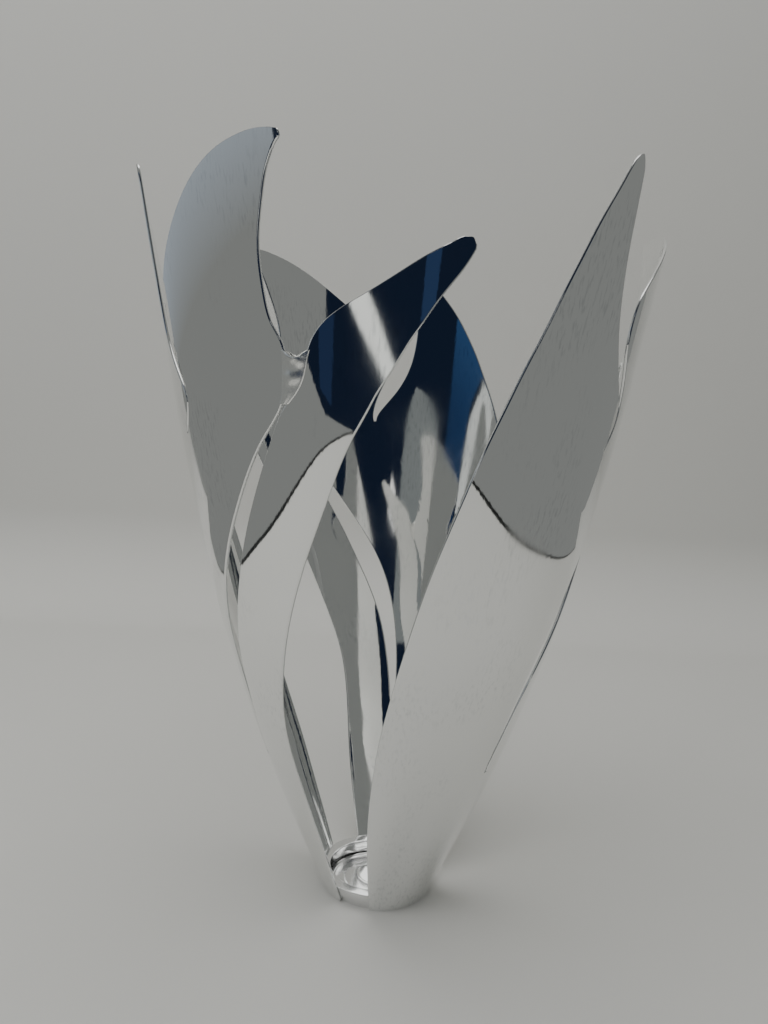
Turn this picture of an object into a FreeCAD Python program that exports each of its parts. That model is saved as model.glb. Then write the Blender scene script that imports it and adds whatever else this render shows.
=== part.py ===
import FreeCAD, Part
import Sketcher
import math
import os

# A free-standing vessel of nine twisted sheet-metal blades on a shallow round cup.
# The blades lie on one tulip-shaped surface of revolution.  One group is a wide, a tall
# and a short blade, welded side by side; three groups stand round the Z axis.
# They are alike but for hand fitting: one wide and one tall tip are drawn out higher, and
# group c is set a little further round, leans round the axis towards its top and is
# welded a little higher.
# Azimuth 0 looks along -Y and grows towards +X.  Z is up and the foot stands on Z = 0.

GROUP_B_TURN = 120.0
SURFACE_STEPS = 48
ACROSS_STEPS = 8
BOSS_ROUND_SHARE = 0.5

DIMENSIONS = (
    ("vessel_height", 267.6, "top of wide blades b and c above the rest face"),
    ("mouth_radius", 98.6, "outer radius at the vessel height"),
    ("foot_radius", 22.0, "outer radius of the blades at the rest face"),
    ("sheet_thickness", 1.2, "thickness of every blade, square to its face"),
    ("cup_height", 7.0, "height of the cup wall"),
    ("cup_wall_thickness", 1.5, "thickness of the cup wall"),
    ("cup_floor_thickness", 1.5, "thickness of the cup floor"),
    ("boss_radius", 8.6, "radius of the disc in the middle of the cup floor"),
    ("boss_height", 1.8, "height of that disc at its rim"),
    ("socket_radius", 2.2, "radius of the round recess in the disc"),
    ("socket_depth", 1.2, "depth of that recess"),
    ("seam_angle", 1.0, "width of the long weld seam, as an angle about the axis"),
    ("bridge_rise", 0.35, "how far a weld bridge stands proud of each sheet face"),
    ("wide_a_rise", 7.0, "how far the tip of wide blade a is drawn out above its sisters"),
    ("tall_c_rise", 7.0, "how far the tip of tall blade c is drawn out above its sisters"),
    ("group_c_turn", 242.0, "turn of group c about the axis from group a, in degrees"),
    ("group_c_lean", 8.0, "how far group c leans round the axis at the vessel height, in degrees"),
)

# Height as a share of the vessel height, and radius as a share of the way from the foot
# radius to the mouth radius.  The first two steps share one slope, so the foot is a plain
# cone; the last knot carries the tips that are drawn out above the vessel height.
PROFILE = (
    (0.000, 0.000),
    (0.040, 0.0628),
    (0.080, 0.1256),
    (0.130, 0.204),
    (0.188, 0.287),
    (0.250, 0.372),
    (0.334, 0.476),
    (0.420, 0.574),
    (0.501, 0.646),
    (0.600, 0.728),
    (0.690, 0.798),
    (0.800, 0.870),
    (0.900, 0.935),
    (1.000, 1.000),
    (1.040, 1.026),
)

# Levels of the straight-across rows, as shares of the vessel height, and the azimuth in
# degrees of each long edge of the first group at those levels.
LEVELS = (0.000, 0.0374, 0.0747, 0.150, 0.224, 0.299, 0.374, 0.448, 0.523, 0.598, 0.673)
WIDE_OUTER = (-126.5, -126.8, -126.7, -126.0, -124.0, -121.2, -117.6, -114.0, -110.0, -105.5, -101.0)
SEAM_LINE = (-97.0, -97.0, -97.0, -96.5, -95.5, -93.0, -89.5, -84.5, -77.5, -69.5, -61.5)
SLIT_NEAR = (-67.5, -67.5, -67.5, -67.8, -67.6, -66.8, -64.2, -59.0, -50.0, -39.5, -29.0)
SLIT_FAR = (-66.0, -66.0, -66.0, -66.0, -65.4, -62.5, -57.8, -50.6, -43.0, -35.0, -27.3)
SHORT_OUTER = (-39.5, -39.0, -38.6, -38.9, -40.2, -39.2, -34.2, -28.3, -21.9, -15.3, -9.0)

# Rows above those levels: left azimuth, left level, right azimuth, right level.
WIDE_TOP = (
    (-98.0, 0.717, -57.6, 0.717),
    (-95.4, 0.754, -60.2, 0.742),
    (-92.0, 0.799, -65.2, 0.775),
    (-89.0, 0.843, -69.4, 0.816),
    (-86.0, 0.885, -71.8, 0.861),
    (-83.0, 0.926, -73.0, 0.906),
    (-80.0, 0.961, -73.5, 0.947),
    (-78.0, 0.985, -73.8, 0.975),
    (-76.7, 0.996, -74.3, 0.990),
    (-75.9, 1.000, -75.0, 0.998),
)
TALL_TOP = (
    (-56.8, 0.717, -23.5, 0.717),
    (-57.4, 0.740, -23.0, 0.741),
    (-59.6, 0.769, -23.0, 0.770),
    (-62.2, 0.798, -25.2, 0.794),
    (-63.0, 0.830, -26.5, 0.824),
    (-61.6, 0.860, -27.0, 0.860),
    (-56.4, 0.892, -26.6, 0.890),
    (-49.0, 0.927, -25.5, 0.920),
    (-41.0, 0.959, -24.4, 0.944),
    (-34.0, 0.977, -23.2, 0.960),
    (-28.5, 0.984, -22.0, 0.971),
    (-25.2, 0.985, -21.4, 0.977),
    (-23.4, 0.984, -21.6, 0.981),
)
SHORT_TOP = (
    (-24.0, 0.703, -5.9, 0.703),
    (-21.4, 0.719, -4.0, 0.723),
    (-19.3, 0.740, -1.3, 0.747),
    (-17.9, 0.768, 1.4, 0.774),
    (-14.6, 0.795, 3.8, 0.795),
    (-7.6, 0.821, 6.0, 0.815),
    (-0.7, 0.846, 8.6, 0.836),
    (5.8, 0.870, 11.2, 0.858),
    (8.6, 0.879, 12.2, 0.869),
    (10.2, 0.883, 12.2, 0.877),
    (11.0, 0.883, 11.8, 0.881),
)

BRIDGE_FOOT = 0.708
BRIDGE_HEAD = 0.768
BRIDGE_ROWS = 6
BRIDGE_OVERLAP = 0.8
FILLER_ACROSS = 3
SEW_TOLERANCE = 1e-4
SEW_LIMIT = 1e-3
EDGE_MARGIN = 0.01
RISE_START = 0.70
LEAN_POWER = 3
OUTER_LEAN_POWER = 8
ROOT_WELD_HEAD = 0.224
SEAM_HEAD = 0.673
LONG_SEAM_HEAD = 0.715

doc = FreeCAD.newDocument("blade_vessel")
sheet = doc.addObject("Spreadsheet::Sheet", "dims")
for row_number, (alias, number, meaning) in enumerate(DIMENSIONS, start=1):
    sheet.set("A%d" % row_number, alias)
    sheet.set("B%d" % row_number, str(number))
    sheet.set("C%d" % row_number, meaning)
    sheet.setAlias("B%d" % row_number, alias)
doc.recompute()

height = float(sheet.vessel_height)
mouth_radius = float(sheet.mouth_radius)
foot_radius = float(sheet.foot_radius)
thickness = float(sheet.sheet_thickness)
seam_half_angle = float(sheet.seam_angle) / 2.0
bridge_rise = float(sheet.bridge_rise)
wide_a_rise = float(sheet.wide_a_rise)
tall_c_rise = float(sheet.tall_c_rise)
group_c_turn = float(sheet.group_c_turn)
group_c_lean = float(sheet.group_c_lean)


def slopes(xs, ys):
    """Return a smooth slope at each knot, flat where the data turns back."""
    steps = [(ys[i + 1] - ys[i]) / (xs[i + 1] - xs[i]) for i in range(len(xs) - 1)]
    inner = []
    for before, after in zip(steps, steps[1:]):
        same_way = before * after > 0.0
        inner.append(2.0 * before * after / (before + after) if same_way else 0.0)
    return [steps[0]] + inner + [steps[-1]]


def smooth(xs, ys, x):
    """Return the value at x of a smooth curve through the knots, and its slope."""
    tangents = slopes(xs, ys)
    i = 0
    while i < len(xs) - 2 and x > xs[i + 1]:
        i += 1
    span = xs[i + 1] - xs[i]
    s = (x - xs[i]) / span
    value = (
        (2.0 * s**3 - 3.0 * s**2 + 1.0) * ys[i]
        + (s**3 - 2.0 * s**2 + s) * span * tangents[i]
        + (3.0 * s**2 - 2.0 * s**3) * ys[i + 1]
        + (s**3 - s**2) * span * tangents[i + 1]
    )
    slope = (
        (6.0 * s**2 - 6.0 * s) * (ys[i] - ys[i + 1]) / span
        + (3.0 * s**2 - 4.0 * s + 1.0) * tangents[i]
        + (3.0 * s**2 - 2.0 * s) * tangents[i + 1]
    )
    return value, slope


PROFILE_LEVELS = [knot[0] for knot in PROFILE]
PROFILE_SHARES = [knot[1] for knot in PROFILE]


def surface_radius(level, depth):
    """Return the radius at a level, at a depth inside the outer face."""
    share, share_slope = smooth(PROFILE_LEVELS, PROFILE_SHARES, level)
    reach = mouth_radius - foot_radius
    flare = math.atan(share_slope * reach / height)
    return foot_radius + share * reach - depth / math.cos(flare)


def surface_point(azimuth, level, depth):
    """Return the point at an azimuth and level, at a depth inside the outer face."""
    radius = surface_radius(level, depth)
    angle = math.radians(azimuth)
    return FreeCAD.Vector(radius * math.sin(angle), -radius * math.cos(angle), level * height)


def level_rows(left_edge, right_edge, left_shift=0.0, right_shift=0.0):
    """Return the straight-across rows between two edges of the azimuth tables."""
    return [
        (left + left_shift, level, right + right_shift, level)
        for level, left, right in zip(LEVELS, left_edge, right_edge)
    ]


def raised(rows, rise):
    """Return rows drawn out by the rise at the vessel height, and less lower down."""
    out = []
    for left, left_level, right, right_level in rows:
        levels = []
        for level in (left_level, right_level):
            share = max(0.0, (level - RISE_START) / (1.0 - RISE_START))
            levels.append(level + rise / height * share**2)
        out.append((left, levels[0], right, levels[1]))
    return out


def leaned(rows, lean, left_power=LEAN_POWER):
    """Return rows whose azimuths grow with a power of the level, by the lean at level 1."""
    return [
        (left + lean * left_level**left_power, left_level,
         right + lean * right_level**LEAN_POWER, right_level)
        for left, left_level, right, right_level in rows
    ]


def row_travel(rows):
    """Return how far each row lies up the piece, measured along its middle."""
    middles = [
        surface_point((row[0] + row[2]) / 2.0, (row[1] + row[3]) / 2.0, 0.0)
        for row in rows
    ]
    travel = [0.0]
    for before, after in zip(middles, middles[1:]):
        travel.append(travel[-1] + before.distanceToPoint(after))
    return travel


def dense_rows(rows, steps):
    """Return evenly spread rows through the given ones, keeping every given row."""
    travel = row_travel(rows)
    columns = list(zip(*rows))
    pitch = travel[-1] / steps
    dense = []
    for i in range(len(rows) - 1):
        parts = max(1, int(round((travel[i + 1] - travel[i]) / pitch)))
        for k in range(parts):
            at = travel[i] + (travel[i + 1] - travel[i]) * k / parts
            dense.append(tuple(smooth(travel, column, at)[0] for column in columns))
    dense.append(rows[-1])
    return dense


def sheet_skin(rows, across, depth):
    """Return the surface through the rows at a depth inside the outer face."""
    grid = []
    for left_azimuth, left_level, right_azimuth, right_level in rows:
        line = []
        for k in range(across + 1):
            share = k / across
            azimuth = left_azimuth + (right_azimuth - left_azimuth) * share
            level = left_level + (right_level - left_level) * share
            line.append(surface_point(azimuth, level, depth))
        grid.append(line)
    skin = Part.BSplineSurface()
    skin.interpolate(grid)
    return skin


def joined_solid(faces):
    """Return the solid that a closed set of faces bounds."""
    shell = Part.makeShell(faces)
    shell.sewShape()
    solid = Part.makeSolid(shell)
    solid.fix(SEW_TOLERANCE, SEW_TOLERANCE, SEW_LIMIT)
    if solid.Volume < 0.0:
        solid.reverse()
    return solid


def sheet_solid(rows, across, outer_depth, inner_depth):
    """Return the solid between two depths, bounded by the ends of the rows."""
    outer = sheet_skin(rows, across, outer_depth)
    inner = sheet_skin(rows, across, inner_depth)
    faces = [outer.toShape(), inner.toShape()]
    u_first, u_last, v_first, v_last = outer.bounds()
    for u in (u_first, u_last):
        faces.append(Part.makeRuledSurface(outer.uIso(u).toShape(), inner.uIso(u).toShape()))
    for v in (v_first, v_last):
        faces.append(Part.makeRuledSurface(outer.vIso(v).toShape(), inner.vIso(v).toShape()))
    return joined_solid(faces)


def edge_curve(rows, right_edge, depth, foot, head):
    """Return the long edge of a blade between two levels, exactly as the blade has it."""
    skin = sheet_skin(rows, ACROSS_STEPS, depth)
    u_first, u_last, v_first, v_last = skin.bounds()
    curve = skin.vIso(v_last if right_edge else v_first)
    marks = []
    for level in (foot, head):
        point = surface_point(edge_azimuth(rows, right_edge, level), level, depth)
        marks.append(curve.parameter(point))
    curve.segment(marks[0], marks[1])
    return curve


def filler_solid(left_rows, right_rows, foot, head):
    """Return weld metal, flush with both faces, that fills the gap between two blades."""
    left_outer = edge_curve(left_rows, True, 0.0, foot, head)
    left_inner = edge_curve(left_rows, True, thickness, foot, head)
    right_outer = edge_curve(right_rows, False, 0.0, foot, head)
    right_inner = edge_curve(right_rows, False, thickness, foot, head)
    around = (left_outer, right_outer, right_inner, left_inner)
    faces = [
        Part.makeRuledSurface(one.toShape(), other.toShape())
        for one, other in zip(around, around[1:] + around[:1])
    ]
    for mark in ("FirstParameter", "LastParameter"):
        corners = [curve.value(getattr(curve, mark)) for curve in around]
        faces.append(Part.makeRuledSurface(
            Part.makeLine(corners[0], corners[1]), Part.makeLine(corners[3], corners[2])))
    return joined_solid(faces)


def edge_azimuth(rows, right_edge, level):
    """Return the azimuth where an edge of the dense rows crosses a level."""
    for before, after in zip(rows, rows[1:]):
        low = before[3] if right_edge else before[1]
        high = after[3] if right_edge else after[1]
        start = before[2] if right_edge else before[0]
        end = after[2] if right_edge else after[0]
        if low <= level <= high:
            return start + (end - start) * (level - low) / (high - low)
    raise ValueError("the edge does not reach level %.3f" % level)


def bridge_rows(left_rows, right_rows):
    """Return rows that cross the gap between two blades and lap over both."""
    rows = []
    for k in range(BRIDGE_ROWS + 1):
        level = BRIDGE_FOOT + (BRIDGE_HEAD - BRIDGE_FOOT) * k / BRIDGE_ROWS
        left = edge_azimuth(left_rows, True, level) - BRIDGE_OVERLAP
        right = edge_azimuth(right_rows, False, level) + BRIDGE_OVERLAP
        rows.append((left, level, right, level))
    return rows


def add_solid(name, shape, turn):
    """Add a finished shape as a document object turned about the Z axis."""
    piece = doc.addObject("Part::Feature", name)
    piece.Label = name
    piece.Shape = shape
    piece.Placement = FreeCAD.Placement(
        FreeCAD.Vector(0.0, 0.0, 0.0), FreeCAD.Rotation(FreeCAD.Vector(0.0, 0.0, 1.0), turn))
    return piece


def group_shapes(wide_rise, tall_rise, lean, seam_head):
    """Return the name and solid of each piece of one group, standing at turn 0."""
    wide_rows = level_rows(WIDE_OUTER, SEAM_LINE, right_shift=-seam_half_angle) + list(WIDE_TOP)
    tall_rows = level_rows(SEAM_LINE, SLIT_NEAR, left_shift=seam_half_angle) + list(TALL_TOP)
    short_rows = level_rows(SLIT_FAR, SHORT_OUTER) + list(SHORT_TOP)
    wide = dense_rows(leaned(raised(wide_rows, wide_rise), lean, OUTER_LEAN_POWER), SURFACE_STEPS)
    tall = dense_rows(leaned(raised(tall_rows, tall_rise), lean), SURFACE_STEPS)
    short = dense_rows(leaned(short_rows, lean), SURFACE_STEPS)
    tall_solid = sheet_solid(tall, ACROSS_STEPS, 0.0, thickness)
    short_solid = sheet_solid(short, ACROSS_STEPS, 0.0, thickness)
    bridge = sheet_solid(
        bridge_rows(tall, short), FILLER_ACROSS, -bridge_rise, thickness + bridge_rise)
    return (
        ("wide_blade", sheet_solid(wide, ACROSS_STEPS, 0.0, thickness)),
        ("tall_blade", tall_solid),
        ("short_blade", short_solid),
        ("seam_weld", filler_solid(wide, tall, 0.0, seam_head)),
        ("root_weld", filler_solid(tall, short, 0.0, ROOT_WELD_HEAD)),
        ("bridge_weld", bridge.cut([tall_solid, short_solid])),
    )


groups = (
    ("a", 0.0, wide_a_rise, 0.0, 0.0, SEAM_HEAD),
    ("b", GROUP_B_TURN, 0.0, 0.0, 0.0, SEAM_HEAD),
    ("c", group_c_turn, 0.0, tall_c_rise, group_c_lean, LONG_SEAM_HEAD),
)
pieces = []
for group, turn, *fitting in groups:
    for base_name, shape in group_shapes(*fitting):
        pieces.append(add_solid("%s_%s" % (base_name, group), shape, turn))

# The cup wall is a cone that lies against the inner faces of the blades.
FOOT_SLOPE_SHARE = PROFILE[1][1] / PROFILE[1][0]
SLOPE = "(%.6f * (dims.mouth_radius - dims.foot_radius) / dims.vessel_height)" % FOOT_SLOPE_SHARE
FOOT_INSIDE = "(dims.foot_radius - dims.sheet_thickness * sqrt(1 + %s ^ 2))" % SLOPE
CUP_INSIDE = "%s - dims.cup_wall_thickness" % FOOT_INSIDE

wall_cone = doc.addObject("Part::Cone", "wall_cone")
wall_cone.setExpression("Radius1", FOOT_INSIDE)
wall_cone.setExpression("Radius2", "%s + %s * dims.cup_height" % (FOOT_INSIDE, SLOPE))
wall_cone.setExpression("Height", "dims.cup_height")
wall_bore = doc.addObject("Part::Cylinder", "wall_bore")
wall_bore.setExpression("Radius", CUP_INSIDE)
wall_bore.setExpression("Height", "dims.cup_height")
cup_wall = doc.addObject("Part::Cut", "cup_wall")
cup_wall.Label = "cup_wall"
cup_wall.Base = wall_cone
cup_wall.Tool = wall_bore
pieces.append(cup_wall)


def origin_plane(body, role):
    """Return one of a body's own origin planes."""
    return [plane for plane in body.Origin.OriginFeatures if plane.Role == role][0]


def disc_sketch(body, name, radius, level):
    """Add a sketch of one circle about the axis, level with the given expression."""
    sketch = body.newObject("Sketcher::SketchObject", name)
    sketch.AttachmentSupport = [(origin_plane(body, "XY_Plane"), "")]
    sketch.MapMode = "FlatFace"
    sketch.setExpression("AttachmentOffset.Base.z", level)
    circle = Part.Circle(FreeCAD.Vector(0.0, 0.0, 0.0), FreeCAD.Vector(0.0, 0.0, 1.0), foot_radius)
    sketch.addGeometry(circle, False)
    sketch.addConstraint(Sketcher.Constraint("Coincident", 0, 3, -1, 1))
    sketch.addConstraint(Sketcher.Constraint("Radius", 0, foot_radius))
    sketch.setExpression("Constraints[1]", radius)
    return sketch


def pad_disc(body, name, radius, level, length):
    """Pad a disc of the given radius and length upwards from a level."""
    pad = body.newObject("PartDesign::Pad", name)
    pad.Profile = disc_sketch(body, name + "_sketch", radius, level)
    pad.setExpression("Length", length)
    doc.recompute()
    return pad


floor_body = doc.addObject("PartDesign::Body", "cup_floor")
floor_body.Label = "cup_floor"
pad_disc(floor_body, "floor_pad", CUP_INSIDE, "0 mm", "dims.cup_floor_thickness")
pieces.append(floor_body)

boss_body = doc.addObject("PartDesign::Body", "cup_boss")
boss_body.Label = "cup_boss"
boss_pad = pad_disc(
    boss_body, "boss_pad", "dims.boss_radius", "dims.cup_floor_thickness * 1 mm", "dims.boss_height")
boss_top = float(sheet.cup_floor_thickness) + float(sheet.boss_height)
rim_edges = [
    "Edge%d" % number
    for number, edge in enumerate(boss_pad.Shape.Edges, start=1)
    if edge.BoundBox.ZMin > boss_top - EDGE_MARGIN
]
boss_round = boss_body.newObject("PartDesign::Fillet", "boss_round")
boss_round.Base = (boss_pad, rim_edges)
boss_round.setExpression("Radius", "dims.boss_height * %s" % BOSS_ROUND_SHARE)
doc.recompute()
socket = boss_body.newObject("PartDesign::Pocket", "boss_socket")
socket.Profile = disc_sketch(
    boss_body, "socket_sketch", "dims.socket_radius",
    "(dims.cup_floor_thickness + dims.boss_height) * 1 mm")
socket.setExpression("Length", "dims.socket_depth")
pieces.append(boss_body)
doc.recompute()

os.makedirs("parts", exist_ok=True)
for item in doc.Objects:
    if "Invalid" in item.State or "Error" in item.State:
        raise RuntimeError("%s did not compute" % item.Name)
for piece in pieces:
    if piece.Shape.isNull() or not piece.Shape.isValid():
        raise RuntimeError("%s is not a sound solid" % piece.Label)
for piece in pieces:
    piece.Shape.exportStep("parts/%s.step" % piece.Label)
    print("%s %.1f mm3" % (piece.Label, piece.Shape.Volume))
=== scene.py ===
"""Looks of a polished metal vessel of nine twisted blades on a shallow round cup.

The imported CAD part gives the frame.  Every blade and weld is replaced by a fine surface
worked out from the same tables of azimuth and level, with rolled bright rims, and the cup
by turned profiles.  All lengths are in metres, angles in degrees unless a name says so.
"""

import logging
import math
from dataclasses import dataclass
from enum import Enum
from typing import Sequence

import bpy
import numpy as np
from mathutils import Matrix, Vector

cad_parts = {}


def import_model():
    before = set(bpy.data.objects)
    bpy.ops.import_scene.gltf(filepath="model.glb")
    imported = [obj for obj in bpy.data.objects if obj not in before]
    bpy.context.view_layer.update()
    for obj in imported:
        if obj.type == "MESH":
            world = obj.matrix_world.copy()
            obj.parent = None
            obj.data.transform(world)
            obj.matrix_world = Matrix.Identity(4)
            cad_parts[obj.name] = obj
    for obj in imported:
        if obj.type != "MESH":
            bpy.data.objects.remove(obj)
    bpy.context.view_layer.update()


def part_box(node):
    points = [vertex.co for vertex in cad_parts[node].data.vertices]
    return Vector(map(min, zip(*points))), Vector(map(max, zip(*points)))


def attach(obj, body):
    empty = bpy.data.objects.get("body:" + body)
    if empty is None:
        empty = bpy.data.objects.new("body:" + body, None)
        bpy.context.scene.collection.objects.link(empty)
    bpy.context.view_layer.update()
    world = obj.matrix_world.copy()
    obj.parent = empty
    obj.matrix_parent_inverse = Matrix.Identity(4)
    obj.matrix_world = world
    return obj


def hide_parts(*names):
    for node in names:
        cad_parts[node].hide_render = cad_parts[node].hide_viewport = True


LOG = logging.getLogger("vessel")

Array = np.ndarray
Row = tuple[float, float, float, float]
Span = tuple[float, float]
Colour = tuple[float, float, float]
Socket = bpy.types.NodeSocket


class Slot(Enum):
    """Material slots of the record."""

    SHEET = "polished_sheet"
    WELD = "weld_metal"
    CUP = "cup_metal"


def natural_spline(knots: Sequence[float], values: Array, at: Array) -> Array:
    """Evaluate the natural cubic spline through knots, smooth to its second slope.

    The spline's second slopes solve the usual three-band set of equations.

    Args:
        knots: rising positions of the given values.
        values: one row of numbers per knot.
        at: positions wanted.

    Returns:
        One row of numbers per position.
    """
    x = np.asarray(knots, float)
    y = np.asarray(values, float).reshape(len(x), -1)
    step = np.diff(x)
    size = len(x)
    bands = np.eye(size)
    right = np.zeros_like(y)
    inner = np.arange(1, size - 1)
    bands[inner, inner - 1] = step[:-1]
    bands[inner, inner] = 2.0 * (step[:-1] + step[1:])
    bands[inner, inner + 1] = step[1:]
    rise = np.diff(y, axis=0) / step[:, None]
    right[1:-1] = 6.0 * np.diff(rise, axis=0)
    bend = np.linalg.solve(bands, right)
    at = np.asarray(at, float)
    cell = np.clip(np.searchsorted(x, at, side="right") - 1, 0, size - 2)
    width = step[cell][:, None]
    after = (at - x[cell])[:, None] / width
    before = 1.0 - after
    curve = (before**3 - before) * bend[cell] + (after**3 - after) * bend[cell + 1]
    return before * y[cell] + after * y[cell + 1] + curve * width**2 / 6.0


@dataclass(frozen=True)
class Tulip:
    """The surface of revolution that all blades lie on.

    Attributes:
        height: height at level one.
        mouth_radius: radius at level one.
        foot_radius: radius at level nought.
        nudge: small step of level, for measuring how fast the radius grows.
        profile: levels, and shares of the way from the foot's radius to the mouth's.
    """

    height: float = 0.2676
    mouth_radius: float = 0.0986
    foot_radius: float = 0.0220
    nudge: float = 1e-4
    profile: tuple[tuple[float, float], ...] = (
        (0.000, 0.000), (0.040, 0.0628), (0.080, 0.1256), (0.130, 0.204), (0.188, 0.287),
        (0.250, 0.372), (0.334, 0.476), (0.420, 0.574), (0.501, 0.646), (0.600, 0.728),
        (0.690, 0.798), (0.800, 0.870), (0.900, 0.935), (1.000, 1.000), (1.040, 1.026),
    )

    def radius(self, level: Array) -> Array:
        """Return the outer radius at each level, a share of the height."""
        knots = [knot[0] for knot in self.profile]
        shares = np.array([knot[1] for knot in self.profile])
        flat = natural_spline(knots, shares, np.ravel(level))[:, 0]
        share = flat.reshape(np.shape(level))
        return self.foot_radius + share * (self.mouth_radius - self.foot_radius)

    def points(self, azimuth: Array, level: Array) -> Array:
        """Return the outer surface's points at the azimuths (radians) and levels."""
        radius = self.radius(level)
        return np.stack(
            [radius * np.sin(azimuth), -radius * np.cos(azimuth), level * self.height], axis=-1
        )

    def outward(self, azimuth: Array, level: Array) -> Array:
        """Return level outward vectors, long enough to shift the face squarely by one."""
        widening = self.radius(level + self.nudge) - self.radius(level - self.nudge)
        flare = widening / (2 * self.nudge * self.height)
        length = np.sqrt(1.0 + flare**2)
        return np.stack(
            [np.sin(azimuth) * length, -np.cos(azimuth) * length, np.zeros_like(azimuth)], axis=-1
        )

    def foot_slope(self) -> float:
        """Return how much the radius grows for each unit of height near the foot."""
        level, share = self.profile[1]
        return share / level * (self.mouth_radius - self.foot_radius) / self.height


@dataclass(frozen=True)
class HandFitting:
    """How one group differs from its sisters: its turn, drawn-out tips and lean.

    Attributes:
        group: letter of the group.
        turn: turn about the Z axis.
        wide_rise: how far level one of the wide blade is drawn out upwards, in levels.
        tall_rise: the same for the tall blade.
        lean: how far level one leans round the axis.
        seam_head: level where the long seam ends.
        rise_start: level from which a blade is drawn out.
        lean_power: power of the level with which an edge leans.
        outer_lean_power: the same for the wide blade's left edge.
    """

    group: str
    turn: float
    wide_rise: float = 0.0
    tall_rise: float = 0.0
    lean: float = 0.0
    seam_head: float = 0.673
    rise_start: float = 0.70
    lean_power: int = 3
    outer_lean_power: int = 8

    def fit(self, rows: Sequence[Row], rise: float, left_power: int) -> list[Row]:
        """Return rows drawn out upwards by a share of the height and leaned round the axis.

        Args:
            rows: the rows of an even blade.
            rise: how far level one rises, growing with the square of the way up.
            left_power: power of the level with which the left edge leans.

        Returns:
            The fitted rows.
        """
        table = np.array(rows, float)
        levels = table[:, 1::2]
        above = np.clip((levels - self.rise_start) / (1 - self.rise_start), 0, None)
        levels = levels + rise * above**2
        left = table[:, 0] + self.lean * levels[:, 0]**left_power
        right = table[:, 2] + self.lean * levels[:, 1]**self.lean_power
        return np.stack([left, levels[:, 0], right, levels[:, 1]], axis=1).tolist()


# How far level one of a drawn-out blade stands higher: 7 mm of a height of 267.6 mm.
TIP_RISE = 7.0 / 267.6
GROUPS: tuple[HandFitting, ...] = (
    HandFitting("a", 0.0, wide_rise=TIP_RISE),
    HandFitting("b", 120.0),
    HandFitting("c", 242.0, tall_rise=TIP_RISE, lean=8.0, seam_head=0.715),
)


@dataclass(frozen=True)
class BladeTables:
    """Edges of the blades of one group, as azimuths at fixed levels and rows above them."""

    levels: tuple[float, ...] = (
        0.000, 0.0374, 0.0747, 0.150, 0.224, 0.299, 0.374, 0.448, 0.523, 0.598, 0.673,
    )
    wide_outer: tuple[float, ...] = (
        -126.5, -126.8, -126.7, -126.0, -124.0, -121.2, -117.6, -114.0, -110.0, -105.5, -101.0,
    )
    seam_line: tuple[float, ...] = (
        -97.0, -97.0, -97.0, -96.5, -95.5, -93.0, -89.5, -84.5, -77.5, -69.5, -61.5,
    )
    slit_near: tuple[float, ...] = (
        -67.5, -67.5, -67.5, -67.8, -67.6, -66.8, -64.2, -59.0, -50.0, -39.5, -29.0,
    )
    slit_far: tuple[float, ...] = (
        -66.0, -66.0, -66.0, -66.0, -65.4, -62.5, -57.8, -50.6, -43.0, -35.0, -27.3,
    )
    short_outer: tuple[float, ...] = (
        -39.5, -39.0, -38.6, -38.9, -40.2, -39.2, -34.2, -28.3, -21.9, -15.3, -9.0,
    )
    wide_top: tuple[Row, ...] = (
        (-98.0, 0.717, -57.6, 0.717), (-95.4, 0.754, -60.2, 0.742), (-92.0, 0.799, -65.2, 0.775),
        (-89.0, 0.843, -69.4, 0.816), (-86.0, 0.885, -71.8, 0.861), (-83.0, 0.926, -73.0, 0.906),
        (-80.0, 0.961, -73.5, 0.947), (-78.0, 0.985, -73.8, 0.975), (-76.7, 0.996, -74.3, 0.990),
        (-75.9, 1.000, -75.0, 0.998),
    )
    tall_top: tuple[Row, ...] = (
        (-56.8, 0.717, -23.5, 0.717), (-57.4, 0.740, -23.0, 0.741), (-59.6, 0.769, -23.0, 0.770),
        (-62.2, 0.798, -25.2, 0.794), (-63.0, 0.830, -26.5, 0.824), (-61.6, 0.860, -27.0, 0.860),
        (-56.4, 0.892, -26.6, 0.890), (-49.0, 0.927, -25.5, 0.920), (-41.0, 0.959, -24.4, 0.944),
        (-34.0, 0.977, -23.2, 0.960), (-28.5, 0.984, -22.0, 0.971), (-25.2, 0.985, -21.4, 0.977),
        (-23.4, 0.984, -21.6, 0.981),
    )
    short_top: tuple[Row, ...] = (
        (-24.0, 0.703, -5.9, 0.703), (-21.4, 0.719, -4.0, 0.723), (-19.3, 0.740, -1.3, 0.747),
        (-17.9, 0.768, 1.4, 0.774), (-14.6, 0.795, 3.8, 0.795), (-7.6, 0.821, 6.0, 0.815),
        (-0.7, 0.846, 8.6, 0.836), (5.8, 0.870, 11.2, 0.858), (8.6, 0.879, 12.2, 0.869),
        (10.2, 0.883, 12.2, 0.877), (11.0, 0.883, 11.8, 0.881),
    )
    seam_angle: float = 1.0

    def low_rows(self, left: Sequence[float], right: Sequence[float],
                 left_shift: float = 0.0, right_shift: float = 0.0) -> list[Row]:
        """Return the straight-across rows between two edges."""
        return [(a + left_shift, lv, b + right_shift, lv) for lv, a, b in zip(self.levels, left, right)]

    def wide(self) -> list[Row]:
        """Return the rows of the wide blade."""
        half = self.seam_angle / 2
        return self.low_rows(self.wide_outer, self.seam_line, right_shift=-half) + list(self.wide_top)

    def tall(self) -> list[Row]:
        """Return the rows of the tall blade."""
        half = self.seam_angle / 2
        return self.low_rows(self.seam_line, self.slit_near, left_shift=half) + list(self.tall_top)

    def short(self) -> list[Row]:
        """Return the rows of the short blade."""
        return self.low_rows(self.slit_far, self.short_outer) + list(self.short_top)


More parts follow.
